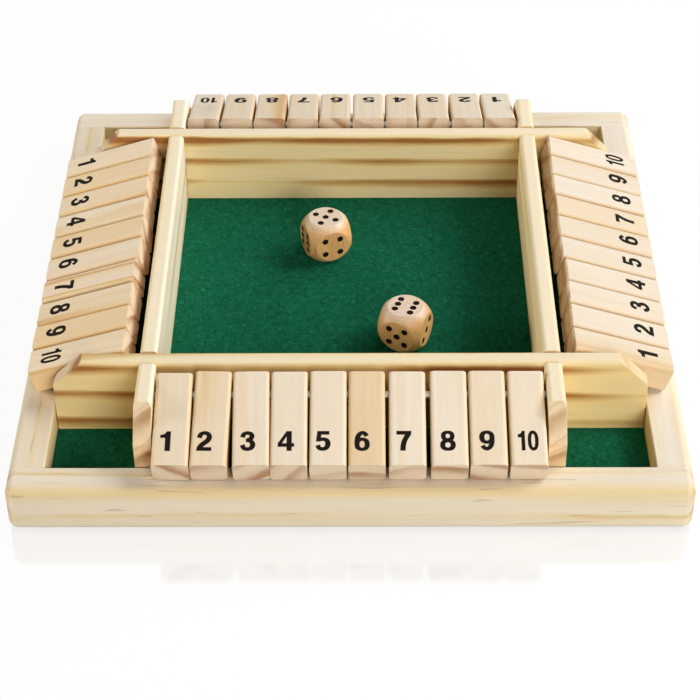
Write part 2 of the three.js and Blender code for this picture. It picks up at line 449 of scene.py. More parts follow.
inkFinish = {
    "patch": (900, 2),
    "colours": (srgb(16, 11, 8), srgb(30, 22, 16)),
    "bump": (0.15, 0.00005),
    "sockets": {"Roughness": 0.7, "Specular IOR Level": 0.08},
}


def inkMaterial(f):
    made, shader = newMaterial("black_ink", f["sockets"])
    patch = noiseOf(add("TexCoord").outputs["Object"], *f["patch"])
    feed(shader, "Base Color", mixColour(patch, *f["colours"]))
    setBump(shader, patch, *f["bump"])
    return made


dieWood = dieMaterial(dieFinish)
greenFelt = feltMaterial(feltFinish)
rodSteel = steelMaterial(steelFinish)
blackInk = inkMaterial(inkFinish)
print("materials made")


# Meshes
def sideTurn(turns):
    return Matrix.Rotation(turns * quarterTurn, 4, "Z")


def meshPiece(name, bm, material):
    data = bpy.data.meshes.new(name)
    bmesh.ops.recalc_face_normals(bm, faces=bm.faces)
    bm.to_mesh(data)
    bm.free()
    data.materials.append(material)
    return newObject(name, data)


def circle(radius, steps, x=0.0, y=0.0):
    angles = [4 * quarterTurn * k / steps for k in range(steps)]
    return [Vector((x + radius * math.cos(a), y + radius * math.sin(a))) for a in angles]


# A band of four-sided faces between two rings of points
def band(bm, low, high):
    for k in range(len(low)):
        n = (k + 1) % len(low)
        bm.faces.new([low[k], low[n], high[n], high[k]])


def bridge(bm, loops):
    for low, high in zip(loops, loops[1:]):
        band(bm, low, high)
    bm.faces.new(list(reversed(loops[0])))
    bm.faces.new(loops[-1])
    bmesh.ops.remove_doubles(bm, verts=bm.verts, dist=1e-7)


def evaluated(piece):
    graph = bpy.context.evaluated_depsgraph_get()
    old = piece.data
    made = bpy.data.meshes.new_from_object(piece.evaluated_get(graph))
    piece.modifiers.clear()
    piece.data = made
    bpy.data.meshes.remove(old)


def carve(piece, cutters):
    for cutter in cutters:
        cut = piece.modifiers.new("cut", "BOOLEAN")
        cut.operation = "DIFFERENCE"
        cut.solver = "EXACT"
        cut.object = cutter
        evaluated(piece)
        bpy.data.objects.remove(cutter)


def block(low, high):
    bm = bmesh.new()
    bmesh.ops.create_cube(bm, size=1)
    size = Vector(high) - Vector(low)
    middle = (Vector(high) + Vector(low)) / 2
    bmesh.ops.transform(bm, matrix=Matrix.Translation(middle) @ Matrix.Diagonal((*size, 1)), verts=bm.verts)
    return meshPiece("cutter", bm, blackInk)


def drum(radius, length, matrix, segments=40):
    bm = bmesh.new()
    bmesh.ops.create_cone(bm, cap_ends=True, segments=segments, radius1=radius, radius2=radius,
                          depth=length, matrix=matrix)
    return meshPiece("cutter", bm, blackInk)


# Takes the sharpness off every edge that turns by more than the angle
def easeEdges(piece, width, angle=math.radians(40), segments=2):
    bm = bmesh.new()
    bm.from_mesh(piece.data)
    bmesh.ops.remove_doubles(bm, verts=bm.verts, dist=1e-6)
    bmesh.ops.dissolve_limit(bm, angle_limit=math.radians(0.5), verts=bm.verts, edges=bm.edges)
    sharp = [e for e in bm.edges if len(e.link_faces) == 2 and e.calc_face_angle() > angle]
    bmesh.ops.bevel(bm, geom=sharp, offset=width, segments=segments, profile=0.5, affect="EDGES",
                    clamp_overlap=True)
    bm.to_mesh(piece.data)
    bm.free()


def smoothPiece(piece, angle=math.radians(38)):
    bm = bmesh.new()
    bm.from_mesh(piece.data)
    for face in bm.faces:
        face.smooth = True
    for edge in bm.edges:
        edge.smooth = len(edge.link_faces) == 2 and edge.calc_face_angle() < angle
    bm.to_mesh(piece.data)
    bm.free()
    even = piece.modifiers.new("even", "WEIGHTED_NORMAL")
    even.keep_sharp = True


def writeAttribute(mesh, name, domain, values):
    made = mesh.attributes.new(name, "FLOAT_VECTOR", domain)
    made.data.foreach_set("vector", np.asarray(values, np.float32).ravel())


# What a piece's wood is like where it says nothing else
plainWood = {"turn": 0, "pith": 0.02, "aside": 0, "lean": (0, 0), "seed": 0.5, "tone": 0, "warmth": 0,
             "sideWarmthAndShade": 0, "paintedOuterShade": 0, "paintedShoulderShade": 0, "strength": 0, "ring": 0.005,
             "flecks": 0}
seedStride = 0.37


# Says where in the tree a piece was cut: wood has the distance and direction of the pith,
# the lean of the grain, a seed, and how the piece looks, with the shade painted on its faces
# by the way they turn
def growGrain(piece, along, wood):
    wood = {**plainWood, **wood}
    mesh = piece.data
    points = np.empty(len(mesh.vertices) * 3)
    mesh.vertices.foreach_get("co", points)
    points = points.reshape(-1, 3)
    order = {"x": (0, 1, 2), "y": (1, 0, 2), "z": (2, 0, 1)}[along]
    p = points[:, order]
    turn = math.radians(wood["turn"])
    across = p[:, 1] * math.cos(turn) + p[:, 2] * math.sin(turn)
    deep = -p[:, 1] * math.sin(turn) + p[:, 2] * math.cos(turn)
    grain = np.stack([
        p[:, 0] + wood["seed"] * seedStride,
        across + wood["lean"][0] * p[:, 0] + wood["aside"],
        deep + wood["lean"][1] * p[:, 0] + wood["pith"],
    ], axis=1)
    writeAttribute(mesh, "grain", "POINT", grain)
    normals = np.empty(len(mesh.polygons) * 3)
    mesh.polygons.foreach_get("normal", normals)
    normals = normals.reshape(-1, 3)[:, order]
    facing = np.abs(normals)
    count = len(facing)
    # sides turn warmer, partly for their grain and partly as painted shade
    warmth = wood["warmth"] + wood["sideWarmthAndShade"] * facing[:, 1] ** 2
    # outer faces painted as shaded and inner faces as lit, the other way round below zero
    warmth -= wood["paintedOuterShade"] * normals[:, 1]
    # the upper outer shoulder painted warmer, as shade
    warmth += wood["paintedShoulderShade"] * np.clip(-2 * normals[:, 1] * normals[:, 2], 0, 1)
    look = np.stack([np.full(count, wood["tone"]), warmth, facing[:, 0]], axis=1)
    writeAttribute(mesh, "look", "FACE", look)
    figure = (wood["strength"], wood["ring"], wood["flecks"])
    writeAttribute(mesh, "figure", "FACE", np.tile(figure, (count, 1)))


def dress(piece, body, slot, *stoodFor):
    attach(piece, body)
    if stoodFor:
        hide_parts(*stoodFor)


# Finishes a piece of the board and puts it in its place
def settle(piece, wood, place, slot, node):
    smoothPiece(piece)
    growGrain(piece, "x", wood)
    piece.matrix_world = place
    dress(piece, "board", slot, node)


# Rails of the tray
grooveGap = 0.0003
rails = {
    "edgeRadius": 0.003,
    "cornerRadius": 0.0035,
    "edgeSteps": 8,
    "cornerSteps": 10,
    "innerEase": 0.0004,
    "jointEase": 0.00003,
    "jointGap": 0.00001,
    "stopGap": 0.0005,
    "faceShares": (0.2, 0.45, 0.7),
    "grooveLow": panelLow.z - grooveGap,
    "grooveHigh": panelHigh.z + grooveGap,
    "grooveHalf": panelHigh.x + grooveGap,
    # Side faces are painted warmer, partly for their grain and partly as shade
    "wood": {
        "front": dict(turn=-12, pith=0.0655, aside=0.004, lean=(0.004, 0.002), seed=1.3,
                      # the front rail: painted shade, its upper outer shoulder turns warmer
                      tone=-0.02, warmth=0.05, sideWarmthAndShade=0.25, paintedShoulderShade=1.0,
                      strength=0.36, ring=0.0045, flecks=0.4),
        "right": dict(turn=14, pith=0.071, aside=-0.003, lean=(0.003, -0.002), seed=2.1,
                      # the right rail: painted shade on its inner face and painted light on its outer face
                      sideWarmthAndShade=1.0, paintedOuterShade=-0.4, strength=0.35, ring=0.0062,
                      flecks=0.1),
        "back": dict(turn=-20, pith=0.055, aside=0.002, lean=(-0.003, 0.003), seed=3.7,
                     tone=0.03, sideWarmthAndShade=0.6, strength=0.45, ring=0.0064, flecks=0.3),
        "left": dict(turn=10, pith=0.066, aside=0.006, lean=(0.006, 0.002), seed=4.9,
                     warmth=0.3, sideWarmthAndShade=0.6, strength=0.4, ring=0.006, flecks=0.5),
    },
}


# Steps up the rounded outer edge: how far in and how high
def railLevels(r):
    radius, steps = r["edgeRadius"], r["edgeSteps"]
    arc = [quarterTurn * k / steps for k in range(steps + 1)]
    lower = [(radius * (1 - math.sin(a)), radius * (1 - math.cos(a))) for a in arc]
    upper = [(inset, railTop - z) for inset, z in reversed(lower)]
    straight = [(0, radius + (railTop - 2 * radius) * share) for share in r["faceShares"]]
    return lower, straight, upper


# How far the inner face steps in and how high, one place for each level of the outer edge
def innerPlaces(r, inGroove):
    lower, _, upper = railLevels(r)
    steps = len(lower) - 1
    deep = r["grooveHalf"] - innerHalf if inGroove else 0
    places = [(0, r["grooveLow"] * k / steps) for k in range(steps + 1)]
    places += [(deep, r["grooveLow"]), (deep, r["grooveHigh"]), (0, r["grooveHigh"])]
    places += [(0, z) for _, z in upper]
    return places


def longRail(name, r):
    lower, straight, upper = railLevels(r)
    levels = lower + straight + upper
    half = boardHalf
    stops = [r["grooveHalf"] + r["stopGap"], r["grooveHalf"], innerHalf + r["stopGap"], innerHalf]
    bm = bmesh.new()
    loops = []
    for level, (inset, z) in enumerate(levels):
        reach = half - inset
        radius = r["cornerRadius"] - inset
        points = []
        for hand, start in ((-1, 2), (1, 3)):
            for k in range(r["cornerSteps"] + 1):
                a = quarterTurn * (start + k / r["cornerSteps"])
                x = hand * (reach - radius) + radius * math.cos(a)
                points.append((x, -(reach - radius) + radius * math.sin(a), z))
        line = [reach] + stops + [-s for s in reversed(stops)] + [-reach]
        for x in line:
            onWall = abs(x) <= innerHalf + 1e-6
            deep, high = innerPlaces(r, abs(x) <= r["grooveHalf"] + 1e-6)[level]
            ease = r["innerEase"] if onWall else r["jointEase"]
            if level == len(levels) - 1:
                deep = ease
            if level == len(levels) - 2:
                high = railTop - ease
            points.append((x, -innerHalf - deep, high))
        loops.append([bm.verts.new(p) for p in points])
    bridge(bm, loops)
    return meshPiece(name, bm, railPine)


def shortRail(name, r):
    lower, _, upper = railLevels(r)
    section = [(-(boardHalf - inset), z) for inset, z in lower + upper]
    deep = r["grooveHalf"]
    section += [(-innerHalf - r["innerEase"], railTop), (-innerHalf, railTop - r["innerEase"]),
                (-innerHalf, r["grooveHigh"]), (-deep, r["grooveHigh"]), (-deep, r["grooveLow"]),
                (-innerHalf, r["grooveLow"]), (-innerHalf, 0)]
    end = innerHalf - r["jointGap"]
    bm = bmesh.new()
    bridge(bm, [[bm.verts.new((x, y, z)) for y, z in section] for x in (-end, end)])
    return meshPiece(name, bm, railPine)


for turns, side in enumerate(sides):
    make = longRail if side in ("front", "back") else shortRail
    rail = make(side + "_rail_pine", rails)
    settle(rail, rails["wood"][side], sideTurn(turns), "rail_pine", side + "_rail")
print("rails made")

# Planks of the grid, lying along X over the origin with their inner faces towards +Y
planks = {
    "endCut": 0.01,
    "edgeRadius": 0.0016,
    "edgeSteps": 8,
    "ease": 0.00022,
    "lapGap": 0.00008,
    "seatLift": 0.0001,
    "socketDeep": 0.004,
    "socketRadius": 0.0018,
    "overrun": 0.001,
    # Side faces are painted warmer, partly for their grain and partly as shade
    "wood": {
        "front": dict(turn=38, pith=0.05, aside=0.006, lean=(0.003, 0.004), seed=11.3,
                      sideWarmthAndShade=0.9, strength=0.95, ring=0.0105),
        "right": dict(turn=-30, pith=0.058, aside=0.004, lean=(0.002, 0.003), seed=12.9,
                      tone=0.02, sideWarmthAndShade=0.7, strength=0.5, ring=0.0098),
        "back": dict(turn=24, pith=0.0671, aside=-0.004, lean=(0.002, -0.003), seed=13.2,
                     tone=0.02, warmth=0.05, sideWarmthAndShade=0.6, strength=1.0, ring=0.009,
                     flecks=0.1),
        "left": dict(turn=52, pith=0.0497, aside=0.002, lean=(-0.003, 0.003), seed=14.8,
                     # the left plank: painted light on its inner face, which turns paler, and painted shade
                     # on its outer face
                     tone=0.07, warmth=-0.1, paintedOuterShade=0.8, strength=0.4, ring=0.0095),
    },
}


def makePlank(name, p, lappedFromAbove):
    half = plankThickness / 2
    end = plankHigh.x
    top, bottom = plankHigh.z, feltHigh.z + p["seatLift"]
    radius = p["edgeRadius"]
    section = [(half, bottom)]
    for corner, hand in enumerate((1, -1)):
        for k in range(p["edgeSteps"] + 1):
            a = quarterTurn * (corner + k / p["edgeSteps"])
            y = hand * (half - radius) + radius * math.cos(a)
            section.append((y, top - radius + radius * math.sin(a)))
    section.append((-half, bottom))
    bm = bmesh.new()
    loops = [[bm.verts.new((x, y, z)) for y, z in section] for x in (-end, end)]
    bridge(bm, loops)
    for hand in (-1, 1):
        cutPlane = Vector((hand * (end - p["endCut"]), 0, top))
        geometry = list(bm.verts) + list(bm.edges) + list(bm.faces)
        cut = bmesh.ops.bisect_plane(bm, geom=geometry, plane_co=cutPlane,
                                     plane_no=Vector((hand, 0, 1)), clear_outer=True)
        rim = [e for e in cut["geom_cut"] if isinstance(e, bmesh.types.BMEdge)]
        bmesh.ops.holes_fill(bm, edges=rim)
    plank = meshPiece(name, bm, plankPine)
    middle = (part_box("front_plank")[0].z + plankHigh.z) / 2
    slot = half + p["lapGap"]
    over = p["overrun"]
    low, high = bottom - over, middle + p["lapGap"]
    if lappedFromAbove:
        low, high = middle - p["lapGap"], top + over
    cutters = []
    for hand in (-1, 1):
        x = hand * plankOffset
        cutters.append(block((x - slot, -half - over, low), (x + slot, half + over, high)))
        length = p["socketDeep"] + over
        place = Matrix.Translation((hand * rodOffset, half - p["socketDeep"] + length / 2, rodHeight))
        cutters.append(drum(p["socketRadius"], length, place @ Matrix.Rotation(quarterTurn, 4, "X")))
    carve(plank, cutters)
    easeEdges(plank, p["ease"])
    return plank


for turns, side in enumerate(sides):
    plank = makePlank(side + "_plank_pine", planks, side in ("left", "right"))
    place = sideTurn(turns) @ Matrix.Translation((0, -plankOffset, 0))
    settle(plank, planks["wood"][side], place, "plank_pine", side + "_plank")
print("planks made")

# Rods, with a small chamfer on each end
rods = {"chamfer": 0.0003, "segments": 48}


def makeRod(name, r):
    radius = rodHigh.z - rodHeight
    end = rodHigh.x
    bm = bmesh.new()
    loops = []
    for x, ring in ((-end, radius - r["chamfer"]), (-end + r["chamfer"], radius),
                    (end - r["chamfer"], radius), (end, radius - r["chamfer"])):
        loops.append([bm.verts.new((x, p.x, p.y)) for p in circle(ring, r["segments"])])
    bridge(bm, loops)
    return meshPiece(name, bm, rodSteel)


for turns, side in enumerate(sides):
    rod = makeRod(side + "_rod_steel", rods)
    place = sideTurn(turns) @ Matrix.Translation((0, -rodOffset, rodHeight))
    settle(rod, plainWood, place, "rod_steel", side + "_rod")
print("rods made")

# Tiles, about the axis of their rod, outer ends towards -Y and numbered faces up
tiles = {
    "edgeRadius": 0.0014,
    "cornerSteps": 7,
    "holeRadius": 0.0018,
    "endEase": 0.00016,
    "easeAngle": 55,
    "yaw": 0.3,
    "slide": 0.00018,
    "short": 0.0007,
    # painted light: the left row is lighter and the right row darker, making up for the light that falls
    # from +X
    "rowPaintedLight": {"front": 0, "right": -0.04, "back": 0, "left": 0.1},
    "rowStrength": {"front": 1.1, "right": 0.8, "back": 1.0, "left": 1.8},
    # the long sides of each tile are painted warmer, partly for their grain and partly as the warm light
    # and shade between tiles
    "sideWarmthAndShade": 0.75,
    # how much warmer than the palest wood each tile is, tiles 1 to 10: partly each tile's own colour,
    # partly painted light, with the left row warmer for warm bounce light and the right row paler for the
    # white key light
    "rowWarmthAndPaintedLight": {
        "front": (0.3, 0.25, 0.1, 0.08, 0.08, 0.8, 0.05, 0.05, 0.2, 0.05),
        "right": (0, 0, 0.05, 0, 0, 0.2, 0.4, 0, 0.05, 0),
        "back": (0, 0.1, 0.3, 0.15, 0.1, 0.25, 0.3, 0.1, 0.2, 0.05),
        "left": (0.45, 0.8, 0.5, 0.3, 0.8, 0.2, 0.25, 0.5, 0.9, 0.35),
    },
    # how the ten tiles of the front row differ: lightness, sideways turn, sideways place
    "frontTone": (0, 0, 0.01, 0, 0.01, -0.02, 0.01, 0.01, 0.01, 0.01),
    "frontYaw": (-0.15, -1.1, 1.2, 0.4, 0.1, 0, -0.2, -0.1, -0.1, 0.1),
    "frontSlide": (-0.0002, -0.0002, -0.0004, -0.0007, -0.0007, -0.0009, -0.0005, 0.0002, 0, 0),
    # how much the inner ends fall short, tiles 1 to 10
    "rowShort": {
        "front": (0.0006, 0, 0.0001, 0.0002, 0, 0.0001, 0.0002, 0, 0, 0.0001),
        "left": (0.0008, 0.0006, 0.0006, 0.0005, 0, 0, 0.0007, 0.0009, 0.0009, 0.0009),
        "right": (0.0003, 0.0004, 0.0005, 0.0008, 0, 0, 0.0001, 0, 0, 0.0002),
    },
    # the darkest ring across each front tile's end: its angle and its height at the middle
    "frontRing": ((149, -0.0021), (10, -0.004), (220, 0.0043), (50, 0.0008), (6, 0.0005),
                  (3, 0.001), (29, 0.0046), (-5, -0.006), (170, 0.0008), (178, 0.0012)),
    "ringsToPith": 6,
}


def makeTileMesh(t, size):
    x, z, radius = size["width"] / 2, size["half"], t["edgeRadius"]
    section = []
    for turn, (sx, sz) in enumerate(((1, 1), (-1, 1), (-1, -1), (1, -1))):
        for k in range(t["cornerSteps"] + 1):
            a = quarterTurn * (turn + k / t["cornerSteps"])
            section.append((sx * (x - radius) + radius * math.cos(a),
                            sz * (z - radius) + radius * math.sin(a)))
    inner, outer = size["inset"], size["inset"] - size["length"]
    bm = bmesh.new()
    loops = [[bm.verts.new((px, y, pz)) for px, pz in section] for y in (outer, inner)]
    bridge(bm, loops)
    made = meshPiece("tile_blank", bm, tilePine)
    hole = drum(t["holeRadius"], 2 * size["width"], Matrix.Rotation(quarterTurn, 4, "Y"))
    carve(made, [hole])
    easeEdges(made, t["endEase"], math.radians(t["easeAngle"]))
    smoothPiece(made)
    return made


# Numbers, drawn with strokes in a square one high. Each stroke is a row of (x, y, width).
def strokeOutline(points, steps=7):
    rows = []
    last = len(points) - 1
    for k in range(last):
        a, b, c, d = (points[min(max(k + i, 0), last)] for i in (-1, 0, 1, 2))
        for s in range(steps):
            t = s / steps
            rows.append([0.5 * (2 * q + (r - p) * t + (2 * p - 5 * q + 4 * r - w) * t * t
                                + (3 * q - p - 3 * r + w) * t ** 3) for p, q, r, w in zip(a, b, c, d)])
    rows.append(list(points[last]))
    left, right = [], []
    for k, (x, y, width) in enumerate(rows):
        before, after = rows[max(k - 1, 0)], rows[min(k + 1, len(rows) - 1)]
        dx, dy = after[0] - before[0], after[1] - before[1]
        size = math.hypot(dx, dy)
        nx, ny = -dy / size * width / 2, dx / size * width / 2
        left.append((x + nx, y + ny))
        right.append((x - nx, y - ny))
    return list(zip(left, left[1:], right[1:], right))


def ringOutline(x, y, wide, high, side, top, steps=40, squareness=2.3):
    rows = []
    for k in range(steps + 1):
        a = 4 * quarterTurn * k / steps
        c, s = math.cos(a), math.sin(a)
        c, s = (math.copysign(abs(v) ** (2 / squareness), v) for v in (c, s))
        rows.append(((x + wide * c, y + high * s), (x + (wide - side) * c, y + (high - top) * s)))
    return [(a[0], b[0], b[1], a[1]) for a, b in zip(rows, rows[1:])]


sixTail = [(-0.224, 0.34, 0.225), (-0.217, 0.53, 0.23), (-0.165, 0.76, 0.215), (-0.02, 0.905, 0.185),
           (0.125, 0.865, 0.19), (0.195, 0.745, 0.215)]
sixShapes = ringOutline(0, 0.325, 0.338, 0.337, 0.225, 0.165) + strokeOutline(sixTail)


def turnedOver(shapes):
    return [[(-x, 1 - y) for x, y in shape] for shape in shapes]


def narrowed(shapes, share, shift):
    return [[(x * share + shift, y) for x, y in shape] for shape in shapes]


oneShapes = [[(-0.005, 0), (0.235, 0), (0.235, 1), (0.06, 1), (-0.005, 0.9)],
             [(0.06, 1), (0.02, 0.915), (-0.06, 0.85), (-0.225, 0.82), (-0.225, 0.665), (-0.005, 0.665),
              (0.1, 0.8)]]
zeroShapes = ringOutline(0, 0.5, 0.345, 0.51, 0.225, 0.165)
numberShapes = {
    1: narrowed(oneShapes, 1, -0.02),
    2: strokeOutline([(-0.222, 0.655, 0.225), (-0.17, 0.83, 0.205), (0, 0.91, 0.185), (0.17, 0.84, 0.205),
                      (0.213, 0.68, 0.235), (0.14, 0.52, 0.235), (0, 0.39, 0.225), (-0.13, 0.27, 0.22),
                      (-0.215, 0.13, 0.23)])
    + [[(-0.34, 0), (0.335, 0), (0.335, 0.19), (-0.3, 0.19)]],
    3: strokeOutline([(-0.218, 0.69, 0.22), (-0.16, 0.845, 0.195), (0, 0.912, 0.18), (0.16, 0.85, 0.2),
                      (0.195, 0.72, 0.23), (0.12, 0.59, 0.195), (-0.06, 0.545, 0.16)])
    + strokeOutline([(-0.06, 0.54, 0.165), (0.13, 0.495, 0.19), (0.222, 0.38, 0.23), (0.222, 0.24, 0.24),
                     (0.14, 0.13, 0.2), (0, 0.09, 0.185), (-0.155, 0.145, 0.2), (-0.228, 0.31, 0.22)]),
    4: [[(0.03, 0), (0.255, 0), (0.255, 1), (0.03, 1)],
        [(-0.36, 0.205), (0.36, 0.205), (0.36, 0.385), (-0.36, 0.385)],
        [(-0.36, 0.385), (-0.17, 0.385), (0.03, 0.73), (0.03, 1)]],
    5: [[(-0.245, 0.82), (0.285, 0.82), (0.285, 1), (-0.245, 1)],
        [(-0.3, 0.46), (-0.09, 0.5), (-0.06, 0.85), (-0.245, 0.99)]]
    + strokeOutline([(-0.2, 0.5, 0.12), (-0.08, 0.57, 0.165), (0.06, 0.58, 0.185), (0.19, 0.5, 0.215),
                     (0.225, 0.34, 0.235), (0.16, 0.16, 0.215), (0, 0.09, 0.185), (-0.155, 0.14, 0.2),
                     (-0.225, 0.28, 0.22)]),
    6: sixShapes,
    7: [[(-0.325, 0.81), (0.33, 0.81), (0.33, 1), (-0.325, 1)]]
    + strokeOutline([(0.215, 0.85, 0.24), (0.12, 0.7, 0.225), (0.02, 0.47, 0.23), (-0.03, 0.24, 0.235),
                     (-0.045, 0, 0.235)]),
    8: ringOutline(0, 0.74, 0.3, 0.27, 0.205, 0.16) + ringOutline(0, 0.285, 0.343, 0.297, 0.225, 0.165),
    9: turnedOver(sixShapes),
    10: narrowed(oneShapes, 0.68, -0.3) + narrowed(zeroShapes, 0.69, 0.215),
}
numbers = {
    "height": 0.0072,
    "fromOuterEnd": 0.0088,
    "proud": 0.00003,
    "sunk": 0.00006,
    # how far each front number stands off its tile's middle
    "frontShift": (-0.0015, -0.0015, -0.001, -0.0008, -0.0016, -0.0015, -0.0012, -0.0006, -0.0006, -0.0002),
    "shift": 0.0005,
    "leftOut": 0.0008,
}


def facingUp(shape):
    area = sum(a[0] * b[1] - b[0] * a[1] for a, b in zip(shape, shape[1:] + shape[:1]))
    return shape if area > 0 else shape[::-1]


def makeNumber(name, value, n, size, shiftX, shiftOut):
    corners, faces = [], []
    for shape in numberShapes[value]:
        shape = facingUp(list(shape))
        faces.append(list(range(len(corners), len(corners) + len(shape))))
        corners += [Vector((x * n["height"], (y - 0.5) * n["height"])) for x, y in shape]
    flat = delaunay_2d_cdt(corners, [], faces, 1, 1e-7)
    bm = bmesh.new()
    middle = size["inset"] - size["length"] + n["fromOuterEnd"] - shiftOut
    upper, lower = ([bm.verts.new((p.x + shiftX, p.y + middle, size["half"] + z)) for p in flat[0]]
                    for z in (n["proud"], -n["sunk"]))
    edges = {}
    for face, inside in zip(flat[2], flat[5]):
        if inside:
            bm.faces.new([upper[k] for k in face])
            bm.faces.new([lower[k] for k in reversed(face)])
            for a, b in zip(face, face[1:] + face[:1]):
                edges[(a, b)] = True
    for a, b in edges:
        if (b, a) not in edges:
            bm.faces.new([upper[b], upper[a], lower[a], lower[b]])
    loose = [v for v in bm.verts if not v.link_faces]
    bmesh.ops.delete(bm, geom=loose, context="VERTS")
    return meshPiece(name, bm, blackInk)


def tileWood(side, number, draw, t, size):
    angle = draw.uniform(0, 360)
    height = draw.uniform(-0.004, 0.004)
    lean = draw.uniform(-0.02, 0.02)
    wood = {
        "aside": draw.uniform(-0.01, 0.01),
        "seed": draw.uniform(0, 40),
        # tone here carries the row's painted light as well as the tile's own
        "tone": draw.uniform(-0.02, 0.01) + t["rowPaintedLight"][side],
        # warmth: the tile's own colour, with the row's painted light
        "warmth": t["rowWarmthAndPaintedLight"][side][number - 1],
        "sideWarmthAndShade": t["sideWarmthAndShade"],
        "strength": draw.uniform(0.15, 0.5) * t["rowStrength"][side],
        "ring": draw.uniform(0.006, 0.011),
    }
    if side == "front":
        wood["tone"] = t["frontTone"][number - 1]
        wood["ring"] = draw.uniform(0.009, 0.011)
        angle, height = t["frontRing"][number - 1]
    wood["turn"] = angle
    wood["lean"] = (draw.uniform(-0.02, 0.02), lean)
    outer = size["inset"] - size["length"]
    wood["pith"] = t["ringsToPith"] * wood["ring"] - height * math.cos(math.radians(angle)) - lean * outer
    return wood


# A row is never quite even: the inner ends fall short by a little
def shorten(tile, size, short):
    for vertex in tile.data.vertices:
        if vertex.co.y > size["inset"] - size["half"] / 2:
            vertex.co.y -= short


tileBlank = makeTileMesh(tiles, tileSize)
draw = random.Random(5)
for turns, side in enumerate(sides):
    for number in range(1, 11):
        node = f"{side}_tile_{number}"
        tile = tileBlank.copy()
        tile.name = node + "_pine"
        tile.data = tileBlank.data.copy()
        bpy.context.scene.collection.objects.link(tile)
        growGrain(tile, "y", tileWood(side, number, draw, tiles, tileSize))
        low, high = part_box(f"front_tile_{number}")
        yaw = draw.uniform(-tiles["yaw"], tiles["yaw"])
        slide = draw.uniform(-tiles["slide"], tiles["slide"])
        short = draw.uniform(0, tiles["short"])
        if side in tiles["rowShort"]:
            short = tiles["rowShort"][side][number - 1]
        shift = draw.uniform(-numbers["shift"], numbers["shift"])
        out = numbers["leftOut"] if side == "left" else 0
        if side == "front":
            yaw = tiles["frontYaw"][number - 1]
            slide = tiles["frontSlide"][number - 1]
            shift = numbers["frontShift"][number - 1]
        shorten(tile, tileSize, short)
        place = (sideTurn(turns)
                 @ Matrix.Translation(((low.x + high.x) / 2 + slide, -rodOffset, rodHeight))
                 @ Matrix.Rotation(tileSize["slope"], 4, "X")
                 @ Matrix.Rotation(math.radians(yaw), 4, "Z"))
        tile.matrix_world = place
        dress(tile, node, "tile_pine", node)
        figure = makeNumber(node + "_number", number, numbers, tileSize, shift, out)
        figure.matrix_world = place
        dress(figure, node, "black_ink")
bpy.data.objects.remove(tileBlank)
print("tiles made")

# Dice: a cube turned down by a ball, with a shallow bowl for each pip
dice = {
    "half": dieHalf,
    "ball": 0.0101,
    "pipRadius": 0.00117,
    "pipDepth": 0.00042,
    "pipPitch": 0.00285,
    "paint": 0.0001,
    "rimSteps": 96,
    "ballSteps": 12,
    "pipSteps": 24,
    "pipRings": 5,
    "pipClear": 0.99,
    # the paint in a bowl: its width, how thin it is at the rim, and its hidden back
    "paintShare": 0.985,
    "rimPaint": 0.2,
    "backDepth": 0.9,
    "backShare": 0.3,
    "smoothAngle": 25,
    "faces": {
        "back_die": dict(turn=19.7, top=5, front=4, right=1),
        "front_die": dict(turn=-23.2, top=6, front=5, right=3),
    },
    "wood": {
        "back_die": dict(turn=20, pith=3.1, aside=0.2, seed=0),
        "front_die": dict(turn=60, pith=9.4, aside=0.7, seed=0),
    },
}
pipShares = {
    1: [(0, 0)],
    2: [(-1, -1), (1, 1)],
    3: [(-1, -1), (0, 0), (1, 1)],
    4: [(-1, -1), (-1, 1), (1, -1), (1, 1)],
    5: [(-1, -1), (-1, 1), (0, 0), (1, -1), (1, 1)],
    6: [(-1, -1), (-1, 0), (-1, 1), (1, -1), (1, 0), (1, 1)],
}
oppositeSum = 7


# One face of a die looking along +Z, with its share of the ball, then turned into place
def makeDieFace(bm, paint, d, value, turn):
    half, ball = d["half"], d["ball"]
    rim = math.sqrt(ball ** 2 - half ** 2)
    outer = circle(rim, d["rimSteps"])
    corners = list(outer)
    edges = [(k, (k + 1) % len(outer)) for k in range(len(outer))]
    pips = [(across * d["pipPitch"], up * d["pipPitch"]) for across, up in pipShares[value]]
    for x, y in pips:
        start = len(corners)
        corners += circle(d["pipRadius"], d["pipSteps"], x, y)
        edges += [(start + k, start + (k + 1) % d["pipSteps"]) for k in range(d["pipSteps"])]
    flat = delaunay_2d_cdt(corners, edges, [], 1, 1e-8)
    made = [bm.verts.new(turn @ Vector((p.x, p.y, half))) for p in flat[0]]
    for face in flat[2]:
        middle = sum((flat[0][k] for k in face), Vector((0, 0))) / len(face)
        if all(math.hypot(middle.x - x, middle.y - y) > d["pipRadius"] * d["pipClear"] for x, y in pips):
            bm.faces.new([made[k] for k in face])
    steps = d["rimSteps"]
    rows = [[bm.verts.new(turn @ Vector((p.x, p.y, half))) for p in outer]]
    for ring in range(1, d["ballSteps"] + 1):
        row = []
        for p in outer:
            way = p.normalized()
            reach = 1 / max(abs(way.x), abs(way.y))
            out = rim / half + (reach - rim / half) * ring / d["ballSteps"]
            point = Vector((way.x * out, way.y * out, 1)).normalized() * ball
            row.append(bm.verts.new(turn @ point))
        rows.append(row)
    for low, high in zip(rows, rows[1:]):
        for k in range(steps):
            bm.faces.new([low[k], high[k], high[(k + 1) % steps], low[(k + 1) % steps]])
    for x, y in pips:
        sinkPip(bm, d, x, y, half, turn, 0)
        sinkPip(paint, d, x, y, half, turn, d["paint"])


